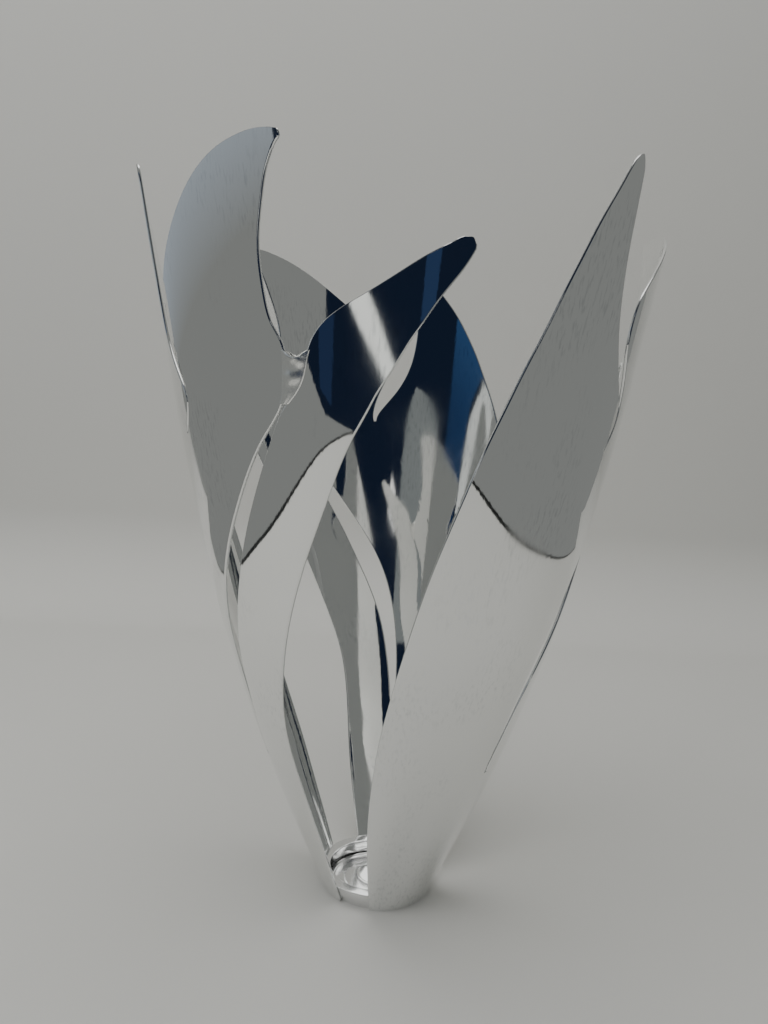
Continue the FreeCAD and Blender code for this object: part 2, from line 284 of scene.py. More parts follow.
def mesh_object(name: str, points: Array, faces: Sequence[Sequence[int]]) -> bpy.types.Object:
    """Make a smooth-shaded mesh object at the origin.

    Args:
        name: name of the object.
        points: one point per row.
        faces: point numbers of each face.

    Returns:
        The new object, linked to the scene.
    """
    mesh = bpy.data.meshes.new(name)
    mesh.from_pydata(points.tolist(), [], faces)
    mesh.validate()
    mesh.polygons.foreach_set("use_smooth", np.ones(len(mesh.polygons), bool))
    mesh.update()
    obj = bpy.data.objects.new(name, mesh)
    bpy.context.scene.collection.objects.link(obj)
    return obj


def tube_faces(rings: int, around: int) -> Array:
    """Return the four-sided faces that join rings of points into a tube."""
    ring, spot = np.meshgrid(np.arange(rings - 1), np.arange(around), indexing="ij")
    after = (spot + 1) % around
    low = ring * around
    high = low + around
    return np.stack([low + spot, low + after, high + after, high + spot], axis=-1).reshape(-1, 4)


def end_fans(hubs: tuple[int, int], first: Array, last: Array) -> Array:
    """Return the three-sided faces that close the two ends of a tube.

    Args:
        hubs: numbers of the middle points of the first and the last ring.
        first: point numbers round the first ring.
        last: point numbers round the last ring.

    Returns:
        The faces, by turns one of the first ring and one of the last.
    """
    near = np.stack([np.full_like(first, hubs[0]), np.roll(first, -1), first], axis=-1)
    far = np.stack([np.full_like(last, hubs[1]), last, np.roll(last, -1)], axis=-1)
    return np.stack([near, far], axis=1).reshape(-1, 3)


def turn_about_z(degrees: float) -> Array:
    """Return the matrix that turns rows of points about the Z axis when it stands on their right."""
    angle = math.radians(degrees)
    return np.array([
        [math.cos(angle), math.sin(angle), 0.0],
        [-math.sin(angle), math.cos(angle), 0.0],
        [0.0, 0.0, 1.0],
    ])


def bow(share: Array) -> Array:
    """Return four times the share times what is left of it: nothing at both ends, one midway."""
    return 4 * share * (1 - share)


@dataclass(frozen=True)
class SheetPiece:
    """What sets one piece of sheet apart from the others.

    Attributes:
        name: object name.
        rows: dense rows of left azimuth, left level, right azimuth, right level.
        turn: turn about the Z axis.
        seed: picks the unevenness, one for all pieces of a group.
        left_weld: level up to which the left edge is welded, so has no rolled rim.
        right_weld: the same for the right edge.
        proud: how far both faces stand out from the common sheet.
        lumps: height of the weld lumps on the faces.
        notch: how deep the last row sags in its middle, in levels.
    """

    name: str
    rows: Array
    turn: float
    seed: int
    left_weld: float = 0.0
    right_weld: float = 0.0
    proud: float = 0.0
    lumps: float = 0.0
    notch: float = 0.0


@dataclass(frozen=True)
class SheetMesh:
    """Makes closed solids of sheet with rolled rims from rows of azimuth and level.

    Attributes:
        tulip: the surface that the outer face lies on.
        thickness: thickness of the sheet.
        row_pitch: distance between dense rows.
        face_columns: points across each face.
        rim_columns: points round each rim.
        rim_fade: levels over which a rolled rim grows above a weld, or above the foot.
        widest_rim: largest share of a row that one rim takes.
        least_width: smallest width that is divided by.
        least_cross: shortest cross product that counts as a direction.
        wave_height, wave_share, wave_count: size and number of the sheet's ripples.
        waves_around, waves_upwards: how fast a ripple changes with azimuth and level.
        lump_count, lump_across, lump_up: number of weld lumps, and where their middles lie.
        lump_reach, lump_size, lump_stretch: how far and high a lump goes, and how stretched.
        lump_seed_step: how far apart the lumps' seeds of two groups are.
        seed: the number that every seed starts from.
    """

    tulip: Tulip
    thickness: float = 0.0012
    row_pitch: float = 0.0011
    face_columns: int = 40
    rim_columns: int = 6
    rim_fade: float = 0.012
    widest_rim: float = 0.42
    least_width: float = 1e-6
    least_cross: float = 1e-14
    wave_height: float = 0.00003
    wave_share: float = 0.5
    wave_count: int = 5
    waves_around: Span = (2.0, 6.0)
    waves_upwards: Span = (5.0, 15.0)
    lump_count: int = 14
    lump_across: Span = (0.15, 0.85)
    lump_up: Span = (0.05, 0.95)
    lump_reach: Span = (0.09, 0.16)
    lump_size: Span = (0.3, 1.0)
    lump_stretch: float = 2.2
    lump_seed_step: int = 31
    seed: int = 7

    def dense(self, rows: Sequence[Row]) -> Array:
        """Return closely spaced rows along a smooth spline through the given ones."""
        table = np.array(rows, float)
        middle = (table[:, :2] + table[:, 2:]) / 2
        path = self.tulip.points(np.radians(middle[:, 0]), middle[:, 1])
        travel = np.concatenate([[0.0], np.cumsum(np.linalg.norm(np.diff(path, axis=0), axis=1))])
        count = int(travel[-1] / self.row_pitch)
        return natural_spline(travel, table, np.linspace(0.0, travel[-1], count))

    def build(self, piece: SheetPiece) -> bpy.types.Object:
        """Make one piece of sheet: rings joined into a tube, closed with a fan at each end."""
        grid = self.grid(piece)
        rings, around = grid.shape[:2]
        points = grid.reshape(-1, 3)
        ends = np.array([points[:around].mean(axis=0), points[-around:].mean(axis=0)])
        first = np.arange(around)
        fans = end_fans((len(points), len(points) + 1), first, first + (rings - 1) * around)
        faces = tube_faces(rings, around).tolist() + fans.tolist()
        made = mesh_object(piece.name, np.concatenate([points, ends]), faces)
        normals = np.concatenate([self.face_normals(grid).reshape(-1, 3), np.zeros_like(ends)])
        made.data.normals_split_custom_set_from_vertices(normals.tolist())
        return made

    def grid(self, piece: SheetPiece) -> Array:
        """Return the points of every ring of a piece.

        Each point is shifted squarely off the common surface by its depth in the sheet
        and by the sheet's waves and lumps, and then turned about the Z axis.

        Args:
            piece: the piece of sheet.

        Returns:
            One ring per row, one point per column.
        """
        rows = piece.rows
        full = self.thickness + 2 * piece.proud
        shares, depths = self.section(piece, full)
        azimuth = np.radians(rows[:, [0]] + (rows[:, [2]] - rows[:, [0]]) * shares)
        climb = np.linspace(0.0, 1.0, len(rows))[:, None]
        level = rows[:, [1]] + (rows[:, [3]] - rows[:, [1]]) * shares
        level = level - piece.notch * climb * bow(shares)
        ripple = self.wave(azimuth, level, piece.seed)
        if piece.lumps:
            ripple = ripple + piece.lumps * self.lump_field(shares, level, piece.seed) * (1 - 2 * depths)
        offset = piece.proud - self.wave_height - depths * full + ripple
        surface = self.tulip.points(azimuth, level)
        outward = self.tulip.outward(azimuth, level)
        return (surface + outward * offset[..., None]) @ turn_about_z(piece.turn)

    def section(self, piece: SheetPiece, full: float) -> tuple[Array, Array]:
        """Return where the points of each ring lie in the cross-section of the sheet.

        A ring runs along the outer face, round the right rim on a half circle, back
        along the inner face and round the left rim.

        Args:
            piece: the piece of sheet.
            full: its full thickness.

        Returns:
            Shares of the way from the left edge to the right, and of the thickness.
        """
        rows = piece.rows
        left = self.tulip.points(np.radians(rows[:, 0]), rows[:, 1])
        right = self.tulip.points(np.radians(rows[:, 2]), rows[:, 3])
        width = np.linalg.norm(right - left, axis=1)
        inset = np.minimum(0.5 * full / np.maximum(width, self.least_width), self.widest_rim)[:, None]
        left_inset = inset * np.clip((rows[:, [1]] - piece.left_weld) / self.rim_fade, 0, 1)
        right_inset = inset * np.clip((rows[:, [3]] - piece.right_weld) / self.rim_fade, 0, 1)
        across = np.linspace(0.0, 1.0, self.face_columns)[None, :]
        face = left_inset + across * (1 - left_inset - right_inset)
        sweep = np.linspace(0.0, np.pi, self.rim_columns + 2)[1:-1][None, :]
        right_rim = 1 - right_inset + np.sin(sweep) * right_inset
        left_rim = left_inset - np.sin(sweep) * left_inset
        outer = np.zeros_like(face)
        rim = (1 - np.cos(sweep)) / 2 + np.zeros_like(inset)
        shares = np.concatenate([face, right_rim, face[:, ::-1], left_rim], axis=1)
        depths = np.concatenate([outer, rim, outer + 1.0, 1.0 - rim], axis=1)
        return shares, depths

    def wave(self, azimuth: Array, level: Array, seed: int) -> Array:
        """Return the unevenness of the sheet: a sum of soft sine ripples in seeded directions."""
        rng = np.random.default_rng(self.seed + seed)
        total = np.zeros_like(azimuth)
        for _ in range(self.wave_count):
            around = rng.uniform(*self.waves_around)
            upwards = rng.uniform(*self.waves_upwards)
            start = rng.uniform(0.0, 2 * np.pi)
            total += np.sin(around * azimuth + upwards * level + start)
        return self.wave_height * total * self.wave_share

    def face_normals(self, grid: Array) -> Array:
        """Return the normals of both faces, each from its own points, and none on the rims.

        A normal is the cross product of the ways to the neighbouring rows and columns,
        so a face keeps its direction right up to a welded edge.

        Args:
            grid: one ring of points per row.

        Returns:
            One normal per point, or nothing where the mesh's own normal is to hold.
        """
        normals = np.zeros_like(grid)
        for first in (0, self.face_columns + self.rim_columns):
            part = slice(first, first + self.face_columns)
            up = np.gradient(grid[:, part], axis=0)
            along = np.gradient(grid[:, part], axis=1)
            cross = np.cross(along, up)
            length = np.linalg.norm(cross, axis=-1, keepdims=True)
            direction = cross / np.maximum(length, self.least_cross)
            normals[:, part] = np.where(length > self.least_cross, direction, 0.0)
        return normals

    def lump_field(self, share: Array, level: Array, seed: int) -> Array:
        """Return rounded weld lumps that fade to nothing at the rims.

        Each lump is a bell: its height falls with the exponential of minus the squared
        distance from its middle, counted in reaches and stretched across the weld.

        Args:
            share: shares of the way across the weld.
            level: levels of the points.
            seed: picks the lumps.

        Returns:
            The heights, where one is a full lump that stands alone.
        """
        rng = np.random.default_rng(self.seed + self.lump_seed_step * seed)
        climb = (level - level.min()) / (level.max() - level.min())
        total = np.zeros_like(share)
        for _ in range(self.lump_count):
            across = rng.uniform(*self.lump_across)
            up = rng.uniform(*self.lump_up)
            reach = rng.uniform(*self.lump_reach)
            spread = ((share - across) / (self.lump_stretch * reach))**2 + ((climb - up) / reach)**2
            total += rng.uniform(*self.lump_size) * np.exp(-spread)
        return total * np.clip(bow(share), 0, 1)


def edge_azimuth(rows: Array, right_edge: bool, level: Array) -> Array:
    """Return the azimuths where a blade's long edge crosses the levels."""
    at, where = (3, 2) if right_edge else (1, 0)
    rising = np.maximum.accumulate(rows[:, at])
    return np.interp(level, rising, rows[:, where])


def filler_rows(left: Array, right: Array, levels: Span, count: int, overlap: float = 0.0) -> Array:
    """Return dense rows that fill the gap between two neighbouring blades.

    Args:
        left: dense rows of the blade on the left.
        right: dense rows of the blade on the right.
        levels: lowest and highest level.
        count: number of rows.
        overlap: how far the rows lap over each blade, as an angle.

    Returns:
        The rows.
    """
    level = np.linspace(*levels, count)
    start = edge_azimuth(left, True, level) - overlap
    end = edge_azimuth(right, False, level) + overlap
    return np.stack([start, level, end, level], axis=1)


@dataclass(frozen=True)
class TurnedMesh:
    """Makes closed turned pieces from a profile of radius and height."""

    steps: int = 192
    near_axis: float = 1e-9

    def build(self, name: str, profile: Array) -> bpy.types.Object:
        """Make a turned piece about the Z axis.

        Args:
            name: object name.
            profile: closed loop of radius and height, counter-clockwise when seen with
                the axis on the left, or an open one that starts and ends on the axis.

        Returns:
            The new object.
        """
        solid = profile[0, 0] < self.near_axis
        loop = profile[1:-1] if solid else profile
        angle = np.linspace(0.0, 2 * np.pi, self.steps, endpoint=False)[:, None]
        radius, height = loop[:, 0], loop[:, 1]
        rings = np.stack(
            [np.cos(angle) * radius, np.sin(angle) * radius, np.ones_like(angle) * height], axis=-1
        )
        points = rings.reshape(-1, 3)
        count = len(loop)
        spots = np.arange(count - 1 if solid else count)
        step, spot = np.meshgrid(np.arange(self.steps), spots, indexing="ij")
        here = step * count
        there = ((step + 1) % self.steps) * count
        after = (spot + 1) % count
        quads = np.stack([here + spot, there + spot, there + after, here + after], axis=-1)
        faces = quads.reshape(-1, 4).tolist()
        if solid:
            first = np.arange(self.steps) * count
            faces += end_fans((len(points), len(points) + 1), first, first + count - 1).tolist()
            points = np.concatenate([points, [[0, 0, profile[0, 1]], [0, 0, profile[-1, 1]]]])
        return mesh_object(name, points, faces)


def rounded(corners: Sequence[tuple[float, float, float]], closed: bool, steps: int = 6) -> Array:
    """Return a profile with its corners rounded.

    Args:
        corners: radius, height and rounding reach of each corner.
        closed: whether the last corner joins the first.
        steps: points along each rounding.

    Returns:
        The profile's points, along a quadratic curve at each rounded corner.
    """
    table = np.array(corners, float)
    spots, reach = table[:, :2], table[:, 2]
    out: list[Array] = []
    for i, spot in enumerate(spots):
        at_end = not closed and i in (0, len(spots) - 1)
        if reach[i] <= 0 or at_end:
            out.append(spot[None, :])
            continue
        before = spots[i - 1] - spot
        after = spots[(i + 1) % len(spots)] - spot
        start = spot + before / np.linalg.norm(before) * reach[i]
        end = spot + after / np.linalg.norm(after) * reach[i]
        s = np.linspace(0.0, 1.0, steps)[:, None]
        out.append((1 - s)**2 * start + 2 * s * (1 - s) * spot + s**2 * end)
    return np.concatenate(out)


@dataclass(frozen=True)
class CupShape:
    """Rounded profiles of the cup's pieces, fitted into the boxes of their CAD nodes.

    Each side of the floor's groove is given by two shares of the bore: where it leaves
    the top and where it reaches the bottom.
    """

    tulip: Tulip
    fine_round: float = 0.0001
    small_round: float = 0.0002
    soft_round: float = 0.0003
    brim_round: float = 0.0005
    groove_outer: Span = (0.92, 0.90)
    groove_inner: Span = (0.68, 0.70)
    groove_depth: float = 0.0003
    boss_edge_drop: float = 0.0003
    boss_edge_round: float = 0.0009
    boss_shoulder: float = 0.62
    boss_shoulder_round: float = 0.0012
    recess_mouth: float = 0.0023
    recess_bottom: float = 0.0021
    recess_depth: float = 0.0012

    def wall(self) -> Array:
        """Return the profile of the wall, whose outer side follows the tulip's slope."""
        low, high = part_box("cup_wall")
        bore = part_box("cup_floor")[1].x
        outer_foot = high.x - self.tulip.foot_slope() * high.z
        return rounded([
            (bore, low.z, 0.0),
            (outer_foot, low.z, self.fine_round),
            (high.x, high.z, self.brim_round),
            (bore, high.z, self.brim_round),
        ], closed=True)

    def floor(self) -> Array:
        """Return the profile of the floor, with a shallow groove in its top."""
        low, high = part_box("cup_floor")
        bore, top = high.x, high.z
        bottom = top - self.groove_depth
        return rounded([
            (0.0, low.z, 0.0),
            (bore, low.z, self.small_round),
            (bore, top, self.fine_round),
            (self.groove_outer[0] * bore, top, self.soft_round),
            (self.groove_outer[1] * bore, bottom, self.soft_round),
            (self.groove_inner[1] * bore, bottom, self.soft_round),
            (self.groove_inner[0] * bore, top, self.soft_round),
            (0.0, top, 0.0),
        ], closed=False)

    def boss(self) -> Array:
        """Return the profile of the middle disc, with a small recess in its head."""
        low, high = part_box("cup_boss")
        rim, head = high.x, high.z
        return rounded([
            (0.0, low.z, 0.0),
            (rim, low.z, self.fine_round),
            (rim, head - self.boss_edge_drop, self.boss_edge_round),
            (self.boss_shoulder * rim, head, self.boss_shoulder_round),
            (self.recess_mouth, head, self.soft_round),
            (self.recess_bottom, head - self.recess_depth, self.small_round),
            (0.0, head - self.recess_depth, 0.0),
        ], closed=False)


class NodeBench:
    """A new material and short ways of adding nodes to it."""

    def __init__(self, name: str) -> None:
        """Make the material and take hold of its node tree."""
        self.material = bpy.data.materials.new(name)
        self.material.use_nodes = True
        self.tree = self.material.node_tree

    def add(self, kind: str, *values: tuple[str, object]) -> bpy.types.Node:
        """Add a node of a kind and set its named inputs."""
        node = self.tree.nodes.new(kind)
        for socket, value in values:
            node.inputs[socket].default_value = value
        return node

    def join(self, source: Socket, target: Socket) -> None:
        """Lead a source into a target."""
        self.tree.links.new(source, target)

    def place(self) -> Socket:
        """Return the place on the object itself, which moves with the object."""
        return self.add("ShaderNodeTexCoord").outputs["Object"]

    def noise(self, place: Socket, scale: float, detail: float) -> Socket:
        """Return soft noise of a scale at a place."""
        node = self.add("ShaderNodeTexNoise", ("Scale", scale), ("Detail", detail))
        self.join(place, node.inputs["Vector"])
        return node.outputs["Fac"]

    def ramp(self, source: Socket, span: Span, result: Span = (0.0, 1.0)) -> Socket:
        """Return a value that runs through the result while the source runs through the span."""
        node = self.add(
            "ShaderNodeMapRange", ("From Min", span[0]), ("From Max", span[1]),
            ("To Min", result[0]), ("To Max", result[1]),
        )
        self.join(source, node.inputs["Value"])
        return node.outputs["Result"]

    def blend(self, first: Colour, second: Colour, factor: Socket) -> Socket:
        """Return a colour between two, the second where the factor is one."""
        node = self.add("ShaderNodeMix")
        node.data_type = "RGBA"
        node.inputs["A"].default_value = (*first, 1.0)
        node.inputs["B"].default_value = (*second, 1.0)
        self.join(factor, node.inputs["Factor"])
        return node.outputs["Result"]


@dataclass(frozen=True)
class MetalFinish:
    """A polished metal: its colour, its polish and the marks left by polishing."""

    name: str
    colour: Colour = (0.885, 0.89, 0.882)
    tint: Colour = (0.745, 0.755, 0.755)
    smooth: float = 0.025
    rough: float = 0.11
    mark_stretch: tuple[float, float, float] = (1100.0, 1100.0, 110.0)
    mark_depth: float = 0.10
    mark_height: float = 0.00005
    mark_detail: float = 5.0
    cloud_scale: float = 22.0
    cloud_detail: float = 3.0
    streak_span: Span = (0.52, 0.68)
    worn_span: Span = (0.46, 0.60)
    rough_span: Span = (0.45, 0.72)

    def material(self) -> bpy.types.Material:
        """Make the material.

        Clouds drive the roughness, fine marks the bump, and marks within clouds the tint.
        """
        bench = NodeBench(self.name)
        shader = bench.tree.nodes["Principled BSDF"]
        shader.inputs["Metallic"].default_value = 1.0
        place = bench.place()
        clouds = bench.noise(place, self.cloud_scale, self.cloud_detail)
        stretch = bench.add("ShaderNodeMapping", ("Scale", self.mark_stretch))
        bench.join(place, stretch.inputs["Vector"])
        marks = bench.noise(stretch.outputs["Vector"], 1.0, self.mark_detail)
        worn_marks = bench.add("ShaderNodeMath")
        worn_marks.operation = "MULTIPLY"
        bench.join(bench.ramp(marks, self.streak_span), worn_marks.inputs[0])
        bench.join(bench.ramp(clouds, self.worn_span), worn_marks.inputs[1])
        metal = bench.blend(self.colour, self.tint, worn_marks.outputs["Value"])
        bench.join(metal, shader.inputs["Base Color"])
        roughness = bench.ramp(clouds, self.rough_span, (self.smooth, self.rough))
        bench.join(roughness, shader.inputs["Roughness"])
        bump = bench.add(
            "ShaderNodeBump", ("Strength", self.mark_depth), ("Distance", self.mark_height))
        bench.join(marks, bump.inputs["Height"])
        bench.join(bump.outputs["Normal"], shader.inputs["Normal"])
        return bench.material


@dataclass(frozen=True)
class PlainPaint:
    """A matt studio surface with a faint mottling."""

    name: str
    colour: Colour
    roughness: float = 0.75
    mottle: float = 0.96
    mottle_scale: float = 3.0
    mottle_detail: float = 2.0

    def material(self) -> bpy.types.Material:
        """Make the material."""
        bench = NodeBench(self.name)
        shader = bench.tree.nodes["Principled BSDF"]
        shader.inputs["Roughness"].default_value = self.roughness
        darker = tuple(self.mottle * part for part in self.colour)
        noise = bench.noise(bench.place(), self.mottle_scale, self.mottle_detail)
        bench.join(bench.blend(self.colour, darker, noise), shader.inputs["Base Color"])
        return bench.material


@dataclass(frozen=True)
class GlowPaint:
    """A glow of one strength, even or going from one colour to another with height."""

    name: str
    colour: Colour
    strength: float = 1.0
    low_colour: Colour | None = None
    heights: Span = (0.0, 1.0)

    def material(self) -> bpy.types.Material:
        """Make the material."""
        bench = NodeBench(self.name)
        bench.tree.nodes.clear()
        glow = bench.add(
            "ShaderNodeEmission", ("Color", (*self.colour, 1.0)), ("Strength", self.strength))
        if self.low_colour:
            axes = bench.add("ShaderNodeSeparateXYZ")
            bench.join(bench.place(), axes.inputs["Vector"])
            rise = bench.ramp(axes.outputs["Z"], self.heights)
            bench.join(bench.blend(self.low_colour, self.colour, rise), glow.inputs["Color"])
        out = bench.add("ShaderNodeOutputMaterial")
        bench.join(glow.outputs["Emission"], out.inputs["Surface"])
        return bench.material


SHEET_FINISH = MetalFinish("polished_sheet_metal")
FLUSH_FINISH = MetalFinish("polished_flush_weld")
WELD_FINISH = MetalFinish(
    "polished_weld", colour=(0.95, 0.95, 0.93), smooth=0.22, rough=0.34,
    mark_stretch=(700.0, 700.0, 500.0), mark_depth=0.9,
)
CUP_FINISH = MetalFinish(
    "polished_cup", colour=(0.86, 0.86, 0.86), smooth=0.12, rough=0.22,
    mark_stretch=(90.0, 90.0, 900.0), mark_depth=0.2,
)


@dataclass(frozen=True)
class Vessel:
    """The whole object: three groups of blades with their welds, and the cup.

    Attributes:
        tulip: the surface that all blades lie on.
        tables: the edges of the blades.
        seam_rows, root_rows, bridge_rows: number of rows of each kind of weld.
        root_head: level where the root welds end.
        bridge_levels: lowest and highest level of the bridge welds.
        bridge_overlap: how far a bridge weld laps over each blade, as an angle.
        bridge_proud, bridge_lumps, bridge_notch: as the proud, lumps and notch of a piece.
        top_level: level that no weld passes, so a flush weld has no rolled rim.
    """

    tulip: Tulip = Tulip()
    tables: BladeTables = BladeTables()
    seam_rows: int = 160
    root_rows: int = 60
    root_head: float = 0.224
    bridge_rows: int = 48
    bridge_levels: Span = (0.708, 0.768)
    bridge_overlap: float = 0.8
    bridge_proud: float = 0.0002
    bridge_lumps: float = 0.00028
    bridge_notch: float = 0.012
    top_level: float = 1.0

    def build(self) -> None:
        """Build every piece, put it in the place of its CAD node and give it its finish."""
        sheet_look = SHEET_FINISH.material()
        flush_look = FLUSH_FINISH.material()
        weld_look = WELD_FINISH.material()
        cup_look = CUP_FINISH.material()
        for seed, fitting in enumerate(GROUPS):
            wide, tall, short = self.blade_rows(fitting)
            self.build_blades(fitting, seed, (wide, tall, short), sheet_look)
            self.build_flush_welds(fitting, seed, (wide, tall, short), flush_look)
            self.build_bridge_weld(fitting, seed, (tall, short), weld_look)
        self.build_cup(cup_look)

    def blade_rows(self, fitting: HandFitting) -> tuple[Array, Array, Array]:
        """Return the dense rows of the wide, tall and short blade of a group."""
        mesh = SheetMesh(self.tulip)
        return (
            mesh.dense(fitting.fit(self.tables.wide(), fitting.wide_rise, fitting.outer_lean_power)),
            mesh.dense(fitting.fit(self.tables.tall(), fitting.tall_rise, fitting.lean_power)),
            mesh.dense(fitting.fit(self.tables.short(), 0.0, fitting.lean_power)),
        )

    def build_blades(self, fitting: HandFitting, seed: int, blades: tuple[Array, Array, Array],
                     look: bpy.types.Material) -> None:
        """Build the three blades of a group, with rolled rims where no weld meets them.

        Args:
            fitting: the group's fitting.
            seed: picks the unevenness.
            blades: dense rows of the wide, tall and short blade.
            look: finish of the sheet.
        """
        mesh = SheetMesh(self.tulip)
        wide, tall, short = blades
        for kind, rows, left_weld, right_weld in (
            ("wide", wide, 0.0, fitting.seam_head),
            ("tall", tall, fitting.seam_head, self.root_head),
            ("short", short, self.root_head, 0.0),
        ):
            name = f"{kind}_blade_look_{fitting.group}"
            piece = SheetPiece(name, rows, fitting.turn, seed, left_weld, right_weld)
            self.place(mesh.build(piece), f"{kind}_blade_{fitting.group}", Slot.SHEET, look)

    def build_flush_welds(self, fitting: HandFitting, seed: int, blades: tuple[Array, Array, Array],
                          look: bpy.types.Material) -> None:
        """Build the long seam and the root weld of a group, flush with the sheet.

        Args:
            fitting: the group's fitting.
            seed: picks the unevenness.
            blades: dense rows of the wide, tall and short blade.
            look: finish of the weld.
        """
        mesh = SheetMesh(self.tulip, face_columns=8, rim_columns=2)
        wide, tall, short = blades
        for kind, rows in (
            ("seam", filler_rows(wide, tall, (0.0, fitting.seam_head), self.seam_rows)),
            ("root", filler_rows(tall, short, (0.0, self.root_head), self.root_rows)),
        ):
            name = f"{kind}_weld_look_{fitting.group}"
            piece = SheetPiece(name, rows, fitting.turn, seed, self.top_level, self.top_level)
            self.place(mesh.build(piece), f"{kind}_weld_{fitting.group}", Slot.WELD, look)

    def build_bridge_weld(self, fitting: HandFitting, seed: int, blades: tuple[Array, Array],
                          look: bpy.types.Material) -> None:
        """Build the lumpy weld that bridges the tall and the short blade of a group.

        Args:
            fitting: the group's fitting.
            seed: picks the unevenness and the lumps.
            blades: dense rows of the tall and short blade.
            look: finish of the weld.
        """
        mesh = SheetMesh(self.tulip, face_columns=36, rim_columns=6)
        rows = filler_rows(*blades, self.bridge_levels, self.bridge_rows, self.bridge_overlap)
        piece = SheetPiece(
            f"bridge_weld_look_{fitting.group}", rows, fitting.turn, seed,
            proud=self.bridge_proud, lumps=self.bridge_lumps, notch=self.bridge_notch,
        )
        self.place(mesh.build(piece), f"bridge_weld_{fitting.group}", Slot.WELD, look)

    def build_cup(self, look: bpy.types.Material) -> None:
        """Build the cup wall, its floor and the disc in the middle of the floor."""
        shape = CupShape(self.tulip)
        for node, profile in (
            ("cup_wall", shape.wall()), ("cup_floor", shape.floor()), ("cup_boss", shape.boss()),
        ):
            self.place(TurnedMesh().build(f"{node}_look", profile), node, Slot.CUP, look)

    @staticmethod
    def place(piece: bpy.types.Object, node: str, slot: Slot, look: bpy.types.Material) -> None:
        """Let a piece stand for a CAD node, with its finish."""
        piece.data.materials.append(look)
        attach(piece, "root")
        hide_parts(node)


class Square(Enum):
    """The axis a card stands square to, by the place of that axis among a point's numbers."""

    X = 0
    Y = 1
    Z = 2


@dataclass(frozen=True)
class Card:
    """A flat glowing shape that shows only in reflections.

    Attributes:
        paint: its glow, which also names it.
        square: the axis it stands square to.
        place: where on that axis it stands.
        outline: its corners, as the other two numbers in order of the axes.
    """

    paint: GlowPaint
    square: Square
    place: float
    outline: tuple[tuple[float, float], ...]

    def build(self) -> None:
        """Build the card."""
        corners = np.insert(np.array(self.outline), self.square.value, self.place, axis=1)
        obj = mesh_object(self.paint.name, corners, [range(len(corners))])
        obj.data.materials.append(self.paint.material())
        obj.visible_camera = False
        obj.visible_diffuse = False
        obj.visible_shadow = False


SKY_BLUE: Colour = (0.35, 0.40, 0.46)
ROOM_GREY: Colour = (0.205, 0.212, 0.205)
BACK_CARD = -0.40
FRONT_CARD = -0.39

CARDS: tuple[Card, ...] = (
    Card(GlowPaint("card_navy", (0.007, 0.012, 0.026)), Square.Y, BACK_CARD, (
        (-0.36, 0.13), (-0.25, 0.052), (-0.12, 0.044), (0.45, 0.05), (0.45, 0.70), (-0.62, 0.70),
        (-0.50, 0.40),
    )),
    Card(GlowPaint("card_stripe", (0.90, 0.92, 0.88)), Square.Y, FRONT_CARD, (
        (-0.155, 0.205), (-0.150, 0.165), (-0.07, 0.128), (0.02, 0.070), (0.035, 0.090),
        (-0.055, 0.152),
    )),
    Card(GlowPaint("card_blue", (0.022, 0.062, 0.15), low_colour=(0.010, 0.024, 0.065),
                   heights=(0.40, 0.62)), Square.Y, FRONT_CARD, (
        (-0.27, 0.36), (-0.40, 0.36), (-0.44, 0.48), (-0.60, 0.60), (-0.60, 0.68), (-0.28, 0.68),
    )),
    Card(GlowPaint("card_window", (0.55, 0.57, 0.55)), Square.Y, FRONT_CARD, (
        (-0.425, 0.36), (-0.445, 0.47), (-0.62, 0.58), (-0.80, 0.58), (-0.80, 0.36),
    )),
    Card(GlowPaint("card_shelf", (0.17, 0.185, 0.185)), Square.Y, FRONT_CARD, (
        (-0.03, 0.28), (-0.03, 0.39), (-0.08, 0.435), (-0.13, 0.43), (-0.25, 0.41), (-0.26, 0.30),
    )),
    Card(GlowPaint("card_lamp", (1.0, 1.0, 0.97)), Square.Y, FRONT_CARD, (
        (-0.01, 0.31), (0.03, 0.335), (0.02, 0.375), (-0.02, 0.345),
    )),
    Card(GlowPaint("card_deep_blue", (0.014, 0.026, 0.062)), Square.Y, FRONT_CARD, (
        (-0.26, 0.085), (-0.215, 0.07), (-0.19, 0.16), (-0.215, 0.26), (-0.24, 0.25),
    )),
    Card(GlowPaint("card_dusk_blue", (0.018, 0.036, 0.085)), Square.Y, FRONT_CARD, (
        (0.045, 0.11), (0.075, 0.10), (0.10, 0.26), (0.06, 0.26),
    )),
    Card(GlowPaint("card_room", SKY_BLUE, low_colour=ROOM_GREY, heights=(0.27, 0.66)), Square.Y, -2.2, (
        (-3.0, -0.01), (3.0, -0.01), (3.0, 0.8), (-3.0, 0.8),
    )),
    Card(GlowPaint("card_left", SKY_BLUE, low_colour=ROOM_GREY, heights=(0.20, 0.50)), Square.X, -1.5, (
        (-2.2, -0.01), (2.5, -0.01), (2.5, 0.62), (-2.2, 0.62),
    )),
    Card(GlowPaint("card_sky", (1.0, 1.0, 0.98), 2.0), Square.Z, 1.2, (
        (-0.28, -0.28), (0.28, -0.28), (0.28, 0.28), (-0.28, 0.28),
    )),
)


@dataclass(frozen=True)
class SoftLight:
    """A soft square light that looks at the object and shows in no reflection."""

    name: str
    centre: tuple[float, float, float]
    size: float
    power: float
    aim: tuple[float, float, float] = (0.0, 0.1, 0.1)

    def build(self) -> None:
        """Build the light."""
        data = bpy.data.lights.new(self.name, "AREA")
        data.size = self.size
        data.energy = self.power
        lamp = bpy.data.objects.new(self.name, data)
        lamp.location = self.centre
        lamp.visible_glossy = False
        way = Vector(self.aim) - Vector(self.centre)
        lamp.rotation_mode = "QUATERNION"
        lamp.rotation_quaternion = way.to_track_quat("-Z", "Y")
        bpy.context.scene.collection.objects.link(lamp)


